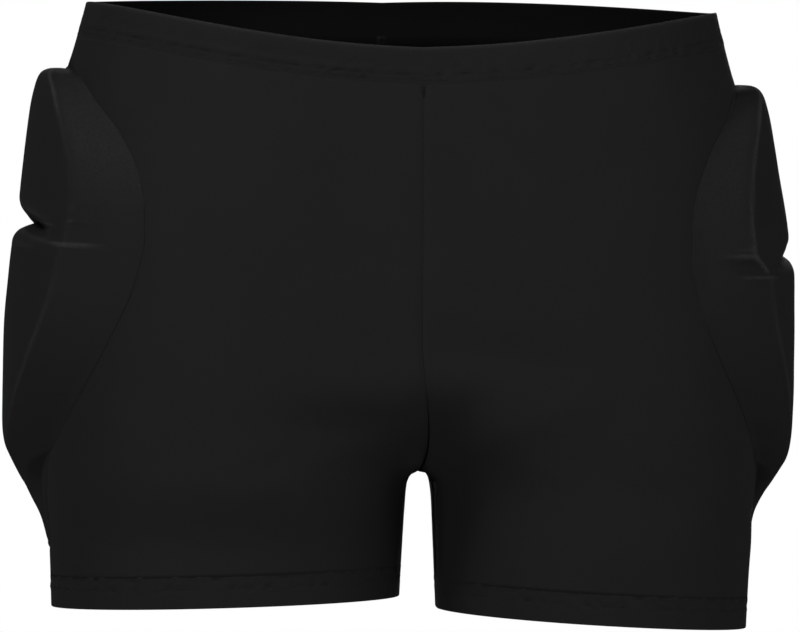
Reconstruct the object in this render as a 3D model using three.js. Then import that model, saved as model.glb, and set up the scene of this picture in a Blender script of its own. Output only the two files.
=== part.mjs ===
// Padded hip shorts in their worn shape: four knitted panels, a folded elastic waistband, two folded
// leg hems, and on each hip a stretch pocket over an upper and a lower foam pad.
// Millimetres. +X is the wearer's left, +Y the back and +Z up. The origin is the middle of the waist
// opening, about level with the waistband's top edge at the sides.

import * as THREE from "three";

const RIGHT = -1;
const LEFT = 1;
const FRONT = -1;
const BACK = 1;

// Walls and clearances.
const GAP = 0.3;
const PANEL_WALL = 1.6;
const POCKET_WALL = 1.4;
const POCKET_SEAT = 0.6; // the pocket's rim lies this far off the panels
const FOAM_SEAT = 1.3; // and the foam this far, as its flat facets are wider
const FOAM_CLEARANCE = 0.4; // between the foam and the pocket over it
const FOAM_INSET = 0.06; // share by which the foam's edge stays inside the pocket's seam
const FOAM_LEAST = 0.8; // thickness at the foam's edge
const FOAM_FROM_LIFT = 10; // the foam fills the pocket where it stands off at least this far
const FOAM_UP_TO_NOTCH = 0.2; // and where less than this share of the notch is cut

// Waistband and leg hems: finished height, and how far each stands out of and into the panels' skin.
const BAND = { height: 18, out: 0.7, in: 2.5 };
const HEM = { height: 16, out: 0.4, in: 2.2 };

// Cut of the waist edge against the sides, and of the hem against its nominal height.
const WAIST_CUT = { front: -20, frontPower: 1, back: 8, backPower: 0.6, fadeTo: -110 };
const WAIST_PULLED_UP = 5; // how much higher the left side's waist edge sits
const HEM_Z = -310;
const HEM_FRONT_LIFT = 4;

// The crotch: its height, the radius of the rise's curve in front and behind, and the arch between the legs.
const CROTCH_Z = -238;
const RISE_RADIUS = { front: 58, back: 78 };
const THIGH_SOFTENING = { radius: 11, reach: 32 }; // of the inner thigh, round the crotch's height
const ARCH = { radius: 7, spread: 0.045, halfGap: { [RIGHT]: 5, [LEFT]: 9.3 } };

// The shorts sit slightly askew on the hips: one side is lower, and the crotch lies off the middle.
const HIP_TILT = -0.0195;
const CROTCH_SHIFT = 8.5;
const SHIFT_FROM_Z = -165;
const LEG_DEPTH_CHANGE = 0.05; // the narrower leg is this share deeper
const LEG_SHIFT = { shift: 1.5, fromZ: -250, over: 25 }; // outsides of both legs, towards the left

// The body's outline by height. side: half width; front, back: depth; axis: where the front and back
// stand furthest out, which is the leg's axis lower down; square: exponent of the rounded outline.
const BODY = [
  { z: 12, side: 161.5, front: 92, back: 103, axis: 40, square: 2.2 },
  { z: 0, side: 164.3, front: 94, back: 106, axis: 42, square: 2.2 },
  { z: -13, side: 167.7, front: 95.5, back: 108, axis: 44, square: 2.2 },
  { z: -26, side: 171.3, front: 97, back: 110, axis: 47, square: 2.2 },
  { z: -38, side: 175, front: 98, back: 112, axis: 50, square: 2.2 },
  { z: -62, side: 179.5, front: 100.5, back: 117, axis: 55, square: 2.2 },
  { z: -100, side: 183.5, front: 103, back: 123, axis: 65, square: 2.2 },
  { z: -145, side: 185.7, front: 104, back: 126, axis: 74, square: 2.2 },
  { z: -190, side: 186.5, front: 103, back: 122, axis: 83, square: 2.2 },
  { z: -238, side: 186, front: 98, back: 111, axis: 90, square: 2.15 },
  { z: -281, side: 182.8, front: 91, back: 100, axis: 93, square: 2.08 },
  { z: -330, side: 181, front: 86, back: 94, axis: 95, square: 2.05 },
];

// Key heights of each hip pocket: its top, the notch between the pads, the lower pad's end and the tip.
const POCKET_HEIGHTS = {
  [RIGHT]: { top: -35, notch: -114, end: -229, tip: -278 },
  [LEFT]: { top: -32.8, notch: -119.3, end: -226.5, tip: -268 },
};

// How much further each pocket stands out round its notch, and how far up and down that reaches.
const POCKET_PUFF = { [RIGHT]: -1, [LEFT]: 3.2, reach: 35 };
const POCKET_CROWN = 1.2; // how far the pocket's face falls from its middle to its ridges

// Depth of each notch at the side, and how much lower it runs in front and behind: by which depth y, and
// how far up and down that reaches.
const NOTCH_DEPTH = { [RIGHT]: 11.5, [LEFT]: 5.8 };
const NOTCH_DROOP = { drop: 6, by: 62, reach: 38 };

// Hem heights of each leg, outside and at the inseam.
const HEM_HEIGHTS = {
  [RIGHT]: { outside: -313, inseam: -303.5 },
  [LEFT]: { outside: -316.3, inseam: -310.3 },
};

// The pocket by height, same in front and behind. at: share of the way from the first named height to
// the second; seam: half depth of its outline; ridge: half depth of its flat outer face; lift: how far
// that face stands off the panels; notch: share of the notch's depth that is cut there.
const POCKET = [
  { from: "top", to: "notch", at: 0, seam: 14, ridge: 6, lift: 2, notch: 0 },
  { from: "top", to: "notch", at: 0.03, seam: 28, ridge: 15, lift: 9.5, notch: 0 },
  { from: "top", to: "notch", at: 0.07, seam: 38, ridge: 23, lift: 12.9, notch: 0 },
  { from: "top", to: "notch", at: 0.17, seam: 54, ridge: 35.5, lift: 14.1, notch: 0 },
  { from: "top", to: "notch", at: 0.36, seam: 71, ridge: 47, lift: 14.3, notch: 0 },
  { from: "top", to: "notch", at: 0.6, seam: 80, ridge: 56, lift: 14.6, notch: 0 },
  { from: "top", to: "notch", at: 0.84, seam: 85, ridge: 61, lift: 15.3, notch: 0 },
  { from: "top", to: "notch", at: 0.905, seam: 85.5, ridge: 61.5, lift: 15.6, notch: 0.1 },
  { from: "top", to: "notch", at: 0.945, seam: 85.8, ridge: 61.5, lift: 15.8, notch: 0.42 },
  { from: "top", to: "notch", at: 0.985, seam: 86.1, ridge: 61.5, lift: 16.1, notch: 1 },
  { from: "notch", to: "end", at: 0.01, seam: 86.4, ridge: 61, lift: 16.4, notch: 1 },
  { from: "notch", to: "end", at: 0.025, seam: 86.6, ridge: 60.8, lift: 16.7, notch: 0.5 },
  { from: "notch", to: "end", at: 0.045, seam: 86.8, ridge: 60.5, lift: 17.1, notch: 0.1 },
  { from: "notch", to: "end", at: 0.08, seam: 87.1, ridge: 60, lift: 17.4, notch: 0 },
  { from: "notch", to: "end", at: 0.12, seam: 87.3, ridge: 59.8, lift: 17.6, notch: 0 },
  { from: "notch", to: "end", at: 0.3, seam: 84.6, ridge: 57.5, lift: 18.4, notch: 0 },
  { from: "notch", to: "end", at: 0.46, seam: 79.5, ridge: 51.5, lift: 19, notch: 0 },
  { from: "notch", to: "end", at: 0.62, seam: 71.5, ridge: 41, lift: 19.2, notch: 0 },
  { from: "notch", to: "end", at: 0.78, seam: 59, ridge: 27, lift: 19.4, notch: 0 },
  { from: "notch", to: "end", at: 0.92, seam: 44, ridge: 15, lift: 19.5, notch: 0 },
  { from: "notch", to: "end", at: 1, seam: 34, ridge: 9, lift: 18.4, notch: 0 },
  { from: "end", to: "tip", at: 0.14, seam: 28, ridge: 6, lift: 15.7, notch: 0 },
  { from: "end", to: "tip", at: 0.3, seam: 23, ridge: 4, lift: 12, notch: 0 },
  { from: "end", to: "tip", at: 0.5, seam: 18, ridge: 3, lift: 7.3, notch: 0 },
  { from: "end", to: "tip", at: 0.72, seam: 13, ridge: 2, lift: 4, notch: 0 },
  { from: "end", to: "tip", at: 1, seam: 7, ridge: 1, lift: 2.1, notch: 0 },
];

// Nominal heights of the panels' rows, closest together where the rise turns under the crotch.
const PANEL_ROWS = [
  -BAND.height - GAP, -34, -52, -74, -98, -122, -146, -168, -186, -202, -214, -223, -230, -234.5, -237,
  CROTCH_Z, -239.5, -242.5, -247, -254, -265, -279, HEM_Z + HEM.height + GAP,
];

const OUTER_COLUMNS = 8; // from the side to where the body stands furthest out
const INNER_COLUMNS = 6; // from there to the centre seam or the inseam

const clamp01 = (t) => Math.min(1, Math.max(0, t));
const ease = (t) => clamp01(t) ** 2 * (3 - 2 * clamp01(t));
const mix = (a, b, t) => a + (b - a) * t;

// A column of a height table at height z, on a smooth curve through the rows.
function columnAt(table, name, z) {
  let i = table.findIndex((row) => row.z < z) - 1;
  if (i < 0) i = z > table[0].z ? 0 : table.length - 2;
  const slope = (k) => {
    const above = table[Math.max(k - 1, 0)];
    const below = table[Math.min(k + 1, table.length - 1)];
    return (below[name] - above[name]) / (below.z - above.z);
  };
  const [a, b] = [table[i], table[i + 1]];
  const step = b.z - a.z;
  const t = clamp01((z - a.z) / step);
  const [h1, h2] = [t * t * (3 - 2 * t), t * (1 - t)];
  return a[name] * (1 - h1) + b[name] * h1 + step * h2 * ((1 - t) * slope(i) - t * slope(i + 1));
}

// The measures of one half of the body at height z, with X counted outwards from the middle plane.
function halfBody(side, z) {
  const shift = CROTCH_SHIFT * ease((SHIFT_FROM_Z - z) / (SHIFT_FROM_Z - CROTCH_Z));
  const legShift = LEG_SHIFT.shift * ease((LEG_SHIFT.fromZ - z) / LEG_SHIFT.over);
  const below = CROTCH_Z - z;
  const deeper = 1 + side * LEG_DEPTH_CHANGE * ease(below / 40);
  const arch = ARCH.halfGap[side] * Math.sqrt(1 - (1 - clamp01(below / ARCH.radius)) ** 2);
  return {
    shift,
    below,
    reach: columnAt(BODY, "side", z) - side * shift + side * legShift,
    axis: columnAt(BODY, "axis", z) - (side * shift) / 2,
    square: columnAt(BODY, "square", z),
    depth: { [FRONT]: columnAt(BODY, "front", z) * deeper, [BACK]: columnAt(BODY, "back", z) * deeper },
    inseam: Math.max(GAP / 2, arch + ARCH.spread * Math.max(0, below)),
  };
}

// How far the inner quarter of the outline is open: 1 where it closes at the middle, 0 where it is flat.
function closing(half, face) {
  if (half.below >= 0) return half.axis / (half.axis - half.inseam);
  const radius = face === FRONT ? RISE_RADIUS.front : RISE_RADIUS.back;
  const rise = clamp01(-half.below / radius);
  const depthShare = Math.sqrt(1 - (1 - rise) ** 2);
  return Math.max(0.04, (1 - depthShare ** half.square) ** (1 / half.square));
}

// A point of the skin at height z. t runs from 0 at the side through 1, where the body stands furthest
// out, to 2 at the centre seam or the inseam.
function outlinePoint(side, face, t, z) {
  const half = halfBody(side, z);
  const power = 2 / half.square;
  let [x, y] = [0, 0];
  if (t <= 1) {
    const angle = (t * Math.PI) / 2;
    x = half.axis + (half.reach - half.axis) * Math.abs(Math.cos(angle)) ** power;
    y = half.depth[face] * Math.sin(angle) ** power;
  } else {
    const closed = closing(half, face);
    const limit = half.below >= 0 ? half.inseam : GAP / 2;
    const endShare = clamp01(closed * (1 - limit / half.axis));
    const angle = (t - 1) * Math.asin(endShare ** (half.square / 2));
    x = half.axis - (half.axis / closed) * Math.sin(angle) ** power;
    y = half.depth[face] * Math.abs(Math.cos(angle)) ** power;
  }
  return new THREE.Vector3(half.shift + side * x, face * Math.max(GAP / 2, y), z);
}

// The height of a panel, band or hem row at its place round the body: the waist dips in front, and the
// hem falls towards the outside of the leg.
function rowHeight(side, face, t, nominal) {
  const half = halfBody(side, nominal);
  const flat = outlinePoint(side, face, t, nominal);
  const across = clamp01((side * (flat.x - half.shift)) / half.reach);
  const [cut, power] =
    face === FRONT ? [WAIST_CUT.front, WAIST_CUT.frontPower] : [WAIST_CUT.back, WAIST_CUT.backPower];
  const pulled = side === LEFT ? WAIST_PULLED_UP * (1 - (1 - across) ** 2) : 0;
  const waist = cut * Math.abs(Math.cos((across * Math.PI) / 2)) ** power + pulled;
  const top = -BAND.height - GAP;
  const waistShare = 1 - ease((nominal - top) / (WAIST_CUT.fadeTo - top));
  const hem = HEM_HEIGHTS[side];
  const outwards = clamp01((across * half.reach - half.inseam) / (half.reach - half.inseam));
  const lift = face === FRONT ? HEM_FRONT_LIFT * Math.abs(flat.y / half.depth[FRONT]) : 0;
  const hemDrop = mix(hem.inseam, hem.outside, outwards) + lift - HEM_Z;
  const hemShare = ease((nominal - CROTCH_Z) / (HEM_Z + HEM.height - CROTCH_Z));
  return nominal + waist * waistShare + hemDrop * hemShare;
}

const skinPoint = (side, face, t, nominal) =>
  outlinePoint(side, face, t, rowHeight(side, face, t, nominal));

// The hips are tilted last, so that every piece leans alike.
const tilted = (point) => new THREE.Vector3(point.x, point.y, point.z + HIP_TILT * point.x);

// Unit normals of a lattice of points, from each point's neighbours. wrap closes its columns.
function latticeNormals(rows, wrap) {
  const last = rows[0].length - 1;
  const neighbour = (c, step) =>
    wrap ? (c + step + last + 1) % (last + 1) : Math.min(last, Math.max(0, c + step));
  return rows.map((row, r) =>
    row.map((_, c) => {
      const across = row[neighbour(c, 1)].clone().sub(row[neighbour(c, -1)]);
      const [above, below] = [rows[Math.max(r - 1, 0)][c], rows[Math.min(r + 1, rows.length - 1)][c]];
      return across.cross(below.clone().sub(above)).normalize();
    }),
  );
}

// One closed body from vertices and quads, each quad two triangles, its faces pointing out.
function closedGeometry(vertices, quads) {
  const triangles = quads.flatMap(([a, b, c, d]) => [[a, b, c], [a, c, d]]);
  const volume = triangles.reduce((sum, [a, b, c]) =>
    sum + vertices[a].dot(vertices[b].clone().cross(vertices[c])), 0);
  const index = triangles.flatMap(([a, b, c]) => (volume < 0 ? [a, c, b] : [a, b, c]));
  const geometry = new THREE.BufferGeometry();
  geometry.setAttribute("position", new THREE.Float32BufferAttribute(vertices.flatMap((v) => v.toArray()), 3));
  geometry.setIndex(index);
  geometry.computeVertexNormals();
  return geometry;
}

// A wall between two lattices of the same size, closed round its four edges.
function wallGeometry(outer, inner) {
  const [rows, columns] = [outer.length, outer[0].length];
  const outside = (r, c) => r * columns + c;
  const inside = (r, c) => rows * columns + r * columns + c;
  const quads = [];
  for (let r = 0; r < rows - 1; r++)
    for (let c = 0; c < columns - 1; c++) {
      quads.push([outside(r, c), outside(r, c + 1), outside(r + 1, c + 1), outside(r + 1, c)]);
      quads.push([inside(r, c), inside(r + 1, c), inside(r + 1, c + 1), inside(r, c + 1)]);
    }
  for (const [r, turned] of [[0, true], [rows - 1, false]])
    for (let c = 0; c < columns - 1; c++) {
      const edge = [outside(r, c), outside(r, c + 1), inside(r, c + 1), inside(r, c)];
      quads.push(turned ? edge.reverse() : edge);
    }
  for (const [c, turned] of [[0, false], [columns - 1, true]])
    for (let r = 0; r < rows - 1; r++) {
      const edge = [outside(r, c), outside(r + 1, c), inside(r + 1, c), inside(r, c)];
      quads.push(turned ? edge.reverse() : edge);
    }
  return closedGeometry([...outer.flat(), ...inner.flat()].map(tilted), quads);
}

// A closed ring: sections[i] is the i-th of the loops of points that follow each other round the ring.
function ringGeometry(sections) {
  const [count, size] = [sections.length, sections[0].length];
  const at = (i, j) => (i % count) * size + (j % size);
  const quads = [];
  for (let i = 0; i < count; i++)
    for (let j = 0; j < size; j++) quads.push([at(i, j), at(i + 1, j), at(i + 1, j + 1), at(i, j + 1)]);
  return closedGeometry(sections.flat().map(tilted), quads);
}

// Column positions of a panel, from the side to its centre seam and inseam.
const PANEL_COLUMNS = [
  ...Array.from({ length: OUTER_COLUMNS }, (_, i) => i / OUTER_COLUMNS),
  ...Array.from({ length: INNER_COLUMNS + 1 }, (_, i) => 1 + i / INNER_COLUMNS),
];

// A panel's inner wall must stay on its own side of the seams, so its edges move within the seam's plane.
function panelInside(outer, normals) {
  const last = PANEL_COLUMNS.length - 1;
  return outer.map((row, r) =>
    row.map((point, c) => {
      const normal = normals[r][c].clone();
      const nominal = PANEL_ROWS[r];
      if (c === 0) normal.y = 0;
      if (c === last && nominal >= CROTCH_Z) normal.x = 0;
      if (c === last && nominal <= CROTCH_Z) normal.y = 0;
      return point.clone().addScaledVector(normal.normalize(), -PANEL_WALL);
    }),
  );
}

// Rounds the inner thigh where the legs part, leaving a panel's edges where they are.
function softened(lattice) {
  const last = PANEL_ROWS.length - 1;
  const height = (r) => (PANEL_ROWS[Math.max(r - 1, 0)] - PANEL_ROWS[Math.min(r + 1, last)]) / 2;
  return lattice.map((row, r) => {
    const weights = PANEL_ROWS.map((z, k) =>
      height(k) * Math.exp(-(((z - PANEL_ROWS[r]) / THIGH_SOFTENING.radius) ** 2)));
    const total = weights.reduce((sum, weight) => sum + weight, 0);
    const near = Math.exp(-(((PANEL_ROWS[r] - CROTCH_Z) / THIGH_SOFTENING.reach) ** 2));
    return row.map((point, c) => {
      const t = PANEL_COLUMNS[c];
      const amount = near * ease((t - 1) / 0.25) * ease((2 - t) / 0.3);
      const mean = weights.reduce((sum, weight, k) => sum.addScaledVector(lattice[k][c], weight / total),
        new THREE.Vector3());
      return new THREE.Vector3(mix(point.x, mean.x, amount), mix(point.y, mean.y, amount), point.z);
    });
  });
}

// One of the four knitted panels, from the waistband to the hem.
function panelGeometry(side, face) {
  const outer = softened(
    PANEL_ROWS.map((nominal) => PANEL_COLUMNS.map((t) => skinPoint(side, face, t, nominal))),
  );
  const normals = latticeNormals(outer, false);
  const turn = -side * face;
  for (const normal of normals.flat()) normal.multiplyScalar(turn);
  return wallGeometry(outer, panelInside(outer, normals));
}

// The outline that a band follows, as [side, face, t] in order: a whole waist, or one leg.
function legOutline(side) {
  const front = [...PANEL_COLUMNS].reverse().map((t) => [side, FRONT, t]);
  const back = PANEL_COLUMNS.slice(1, -1).map((t) => [side, BACK, t]);
  return [...front, ...back];
}

function waistOutline() {
  const columns = PANEL_COLUMNS.slice(0, -1);
  const toSide = [...columns].reverse();
  return [
    ...toSide.map((t) => [LEFT, FRONT, t]),
    ...columns.slice(1).map((t) => [LEFT, BACK, t]),
    ...toSide.map((t) => [RIGHT, BACK, t]),
    ...columns.slice(1).map((t) => [RIGHT, FRONT, t]),
  ];
}

// A folded band round an outline. profile lists its section's corners as [out of the skin, nominal height].
function bandGeometry(outline, profile) {
  const heights = profile.map(([, nominal]) => nominal);
  const rows = heights.map((nominal) => outline.map(([side, face, t]) => skinPoint(side, face, t, nominal)));
  const [top, bottom] = [Math.max(...heights), Math.min(...heights)];
  const edges = [top, bottom].map((nominal) =>
    outline.map(([side, face, t]) => skinPoint(side, face, t, nominal)));
  const normals = latticeNormals(edges, true)[0];
  const middle = edges[0].reduce((sum, p) => sum.add(p), new THREE.Vector3()).divideScalar(outline.length);
  const sections = outline.map((_, i) => {
    const outwards = edges[0][i].clone().sub(middle);
    const normal = normals[i].dot(outwards) < 0 ? normals[i].clone().negate() : normals[i];
    return profile.map(([out], k) => rows[k][i].clone().addScaledVector(normal, out));
  });
  return ringGeometry(sections);
}

// Section of a folded band: its fold is rounded at the free edge, which is the top or the bottom.
function foldProfile(band, free, joined) {
  const round = 0.35 * (band.out + band.in) * Math.sign(free - joined);
  return [
    [band.out, joined],
    [band.out, free - round],
    [band.out - 0.3 * (band.out + band.in), free],
    [-band.in + 0.3 * (band.out + band.in), free],
    [-band.in, free - round],
    [-band.in, joined],
  ];
}

const waistbandGeometry = () => bandGeometry(waistOutline(), foldProfile(BAND, 0, -BAND.height));
const hemGeometry = (side) => bandGeometry(legOutline(side), foldProfile(HEM, HEM_Z, HEM_Z + HEM.height));

// A point of the hip and its outward normal, by depth y and height z.
function hipPoint(side, y, z) {
  const half = halfBody(side, z);
  const depth = half.depth[y < 0 ? FRONT : BACK];
  const x = half.axis + (half.reach - half.axis) * (1 - Math.abs(y / depth) ** half.square) ** (1 / half.square);
  return new THREE.Vector3(half.shift + side * x, y, z);
}

function hipNormal(side, y, z) {
  const along = hipPoint(side, y + 1, z).sub(hipPoint(side, y - 1, z));
  const up = hipPoint(side, y, z + 1).sub(hipPoint(side, y, z - 1));
  return along.cross(up).normalize().multiplyScalar(side);
}

// The pocket's rows with real heights for one side.
function pocketRows(side) {
  const heights = POCKET_HEIGHTS[side];
  return POCKET.map((row) => {
    const z = mix(heights[row.from], heights[row.to], row.at);
    const puff = POCKET_PUFF[side] * Math.exp(-(((z - heights.notch) / POCKET_PUFF.reach) ** 2));
    return { ...row, z, lift: row.lift + puff * ease((row.lift - 2) / 6), cut: NOTCH_DEPTH[side] * row.notch };
  });
}

// The pocket's flank falls from the ridge to the rim. The notch ends at the ridges.
const FLANK = [
  { share: 1, fall: 1 },
  { share: 0.9, fall: 0.88 },
  { share: 0.45, fall: 0.5 },
  { share: 0, fall: 0 },
];
const FACE_SHARES = [0.7, 0.35, 0, -0.35, -0.7];

function pocketColumns(row) {
  const rim = POCKET_SEAT + POCKET_WALL;
  const faceLift = (across) => Math.max(rim, row.lift - row.cut - POCKET_CROWN * across * across);
  const flank = FLANK.map(({ share, fall }) => {
    const y = mix(row.ridge, row.seam, share);
    const uncut = mix(Math.max(row.lift - POCKET_CROWN, rim), rim, fall);
    return { share, y, lift: share === 0 ? faceLift(1) : uncut };
  });
  const face = FACE_SHARES.map((across) => ({ share: 0, y: row.ridge * across, lift: faceLift(across) }));
  const mirrored = [...flank].reverse().map(({ share, y, lift }) => ({ share, y: -y, lift }));
  return [...flank, ...face, ...mirrored];
}

// A point of a pocket or pad: rows near the notch run lower in front and behind.
function padPoint(side, y, z, lift) {
  const near = Math.exp(-(((z - POCKET_HEIGHTS[side].notch) / NOTCH_DROOP.reach) ** 2));
  const droop = NOTCH_DROOP.drop * ease(Math.abs(y) / NOTCH_DROOP.by) * near;
  return hipPoint(side, y, z - droop).addScaledVector(hipNormal(side, y, z - droop), lift);
}

function pocketGeometry(side) {
  const rows = pocketRows(side);
  const lattice = (less) =>
    rows.map((row) => pocketColumns(row).map(({ y, lift }) => padPoint(side, y, row.z, lift - less)));
  return wallGeometry(lattice(0), lattice(POCKET_WALL));
}

// A foam pad fills the pocket between two of its heights, a little inside the seam.
function foamGeometry(side, from, to) {
  const full = (row) => row.lift > FOAM_FROM_LIFT && row.notch < FOAM_UP_TO_NOTCH;
  const filled = (row) => row.from === from && row.to === to && full(row);
  const rows = pocketRows(side).filter(filled);
  const columns = (row) => pocketColumns(row).slice(1, -1).map(({ share, y, lift }) => ({
    y: y * (1 - FOAM_INSET * share),
    lift: Math.max(lift - POCKET_WALL - FOAM_CLEARANCE, FOAM_SEAT + FOAM_LEAST),
  }));
  const top = rows.map((row) => columns(row).map(({ y, lift }) => padPoint(side, y, row.z, lift)));
  const seat = rows.map((row) => columns(row).map(({ y }) => padPoint(side, y, row.z, FOAM_SEAT)));
  return wallGeometry(top, seat);
}

const knit = { color: new THREE.Color().setRGB(0.115, 0.115, 0.118, THREE.SRGBColorSpace), metalness: 0 };
const PANEL_KNIT = new THREE.MeshStandardMaterial({ ...knit, roughness: 0.85 });
const POCKET_KNIT = new THREE.MeshStandardMaterial({ ...knit, roughness: 0.8 });
const BAND_KNIT = new THREE.MeshStandardMaterial({ ...knit, roughness: 0.9 });
const FOAM = new THREE.MeshStandardMaterial({ color: 0x2b2b2d, roughness: 0.95, metalness: 0 });

function piece(name, geometry, material) {
  const mesh = new THREE.Mesh(geometry, material);
  mesh.name = name;
  return mesh;
}

const shorts = new THREE.Group();
shorts.add(piece("waistband", waistbandGeometry(), BAND_KNIT));
for (const [side, word] of [[RIGHT, "right"], [LEFT, "left"]]) {
  shorts.add(piece(`front_panel_${word}`, panelGeometry(side, FRONT), PANEL_KNIT));
  shorts.add(piece(`back_panel_${word}`, panelGeometry(side, BACK), PANEL_KNIT));
  shorts.add(piece(`leg_hem_${word}`, hemGeometry(side), BAND_KNIT));
  shorts.add(piece(`pad_pocket_${word}`, pocketGeometry(side), POCKET_KNIT));
  shorts.add(piece(`upper_pad_${word}`, foamGeometry(side, "top", "notch"), FOAM));
  shorts.add(piece(`lower_pad_${word}`, foamGeometry(side, "notch", "end"), FOAM));
}

export default shorts;
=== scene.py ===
"""Padded hip shorts: knitted cloth, pads and stitching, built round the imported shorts."""

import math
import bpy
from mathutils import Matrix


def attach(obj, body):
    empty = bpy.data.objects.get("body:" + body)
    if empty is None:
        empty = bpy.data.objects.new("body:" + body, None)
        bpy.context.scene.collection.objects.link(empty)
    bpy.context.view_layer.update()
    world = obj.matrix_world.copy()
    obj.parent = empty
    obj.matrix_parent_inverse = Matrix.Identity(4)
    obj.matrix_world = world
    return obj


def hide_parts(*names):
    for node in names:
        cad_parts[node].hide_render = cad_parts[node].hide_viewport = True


bl_info = {
    "name": "Padded hip shorts",
    "version": (1, 0, 0),
    "blender": (4, 5, 0),
    "location": "View3D > Sidebar > Shorts",
    "description": "Builds padded hip shorts in their worn shape",
    "category": "Add Mesh",
}

from types import SimpleNamespace

import bmesh
import bpy
import numpy as np
from bpy.props import FloatProperty, FloatVectorProperty, IntProperty, PointerProperty
from mathutils import Matrix, Vector

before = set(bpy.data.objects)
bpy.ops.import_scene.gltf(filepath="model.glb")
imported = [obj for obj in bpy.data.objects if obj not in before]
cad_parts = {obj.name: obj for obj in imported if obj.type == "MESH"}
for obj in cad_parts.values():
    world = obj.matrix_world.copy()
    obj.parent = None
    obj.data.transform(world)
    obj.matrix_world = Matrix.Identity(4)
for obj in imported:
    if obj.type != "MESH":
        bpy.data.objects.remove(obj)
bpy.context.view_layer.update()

MM = 0.001
RIGHT, LEFT = -1, 1
FRONT, BACK = -1, 1
SIDE_WORDS = {RIGHT: "right", LEFT: "left"}
FACE_WORDS = {FRONT: "front", BACK: "back"}

# Shape of the worn shorts, in millimetres, as in the CAD part.
SEAM_GAP = 0.03
SEAM_LAP = 0.08
CROTCH_Z = -238
RISE_RADIUS = {FRONT: 58, BACK: 78}
ARCH_RADIUS = 7
ARCH_SPREAD = 0.045
ARCH_HALF_GAP = {RIGHT: 5, LEFT: 9.3}
HIP_TILT = -0.0195
CROTCH_SHIFT = 8.5
SHIFT_FROM_Z = -165
LEG_DEPTH_CHANGE = 0.05
LEG_SHIFT = 1.5
LEG_SHIFT_FROM_Z = -250
BAND_HEIGHT = 18
HEM_Z = -310
HEM_HEIGHT = 16
HEM_FRONT_LIFT = 4
HEM_HEIGHTS = {RIGHT: (-313, -303.5), LEFT: (-316.3, -310.3)}
WAIST_CUT = {FRONT: (-20, 1), BACK: (8, 0.6)}
WAIST_FADE_TO = -110
WAIST_PULLED_UP = 5

# z, half width, front depth, back depth, where the front stands furthest out, exponent of the outline.
BODY_COLUMNS = ("z", "side", "front", "back", "axis", "square")
BODY = (
    (12, 161.5, 92, 103, 40, 2.2),
    (0, 164.3, 94, 106, 42, 2.2),
    (-13, 167.7, 95.5, 108, 44, 2.2),
    (-26, 171.3, 97, 110, 47, 2.2),
    (-38, 175, 98, 112, 50, 2.2),
    (-62, 179.5, 100.5, 117, 55, 2.2),
    (-100, 183.5, 103, 123, 65, 2.2),
    (-145, 185.7, 104, 126, 74, 2.2),
    (-190, 186.5, 103, 122, 83, 2.2),
    (-238, 186, 98, 111, 90, 2.15),
    (-281, 182.8, 91, 100, 93, 2.08),
    (-330, 181, 86, 94, 95, 2.05),
)

POCKET_HEIGHTS = {
    RIGHT: {"top": -35, "notch": -114, "end": -229, "tip": -278},
    LEFT: {"top": -32.8, "notch": -119.3, "end": -226.5, "tip": -268},
}
POCKET_PUFF = {RIGHT: -1.7, LEFT: 2.2}
POCKET_PUFF_REACH = 35
POCKET_RIM = 0.5
POCKET_FILLET = 3.2
POCKET_CROWN = 1.2
NOTCH_DEPTH = {RIGHT: 11.5, LEFT: 5.8}
NOTCH_DROOP = 6
NOTCH_DROOP_BY = 62
NOTCH_DROOP_REACH = 38
NOTCH_ENDS = (16, 64)
# The crease that carries on from the notch over the flanks: how far below the notch, depth, and the
# half depths between which it starts and fades.
CREASE_BELOW = {RIGHT: 3.6, LEFT: 5.2}
CREASE_DEPTH = {RIGHT: 1, LEFT: 0.8}
CREASE_STARTS = (48, 62)
CREASE_FADES = (60, 82)
# Painted highlight on the upper pads' flanks, from 0 to 1.
UPPER_FLANK_HIGHLIGHT = {RIGHT: 0.27, LEFT: 0.18}
# How much nearer to the seam the upper pad's ridge lies, at its top and at the notch.
UPPER_RIDGE = {RIGHT: (0, 0), LEFT: (0.2, 0.27)}

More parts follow.
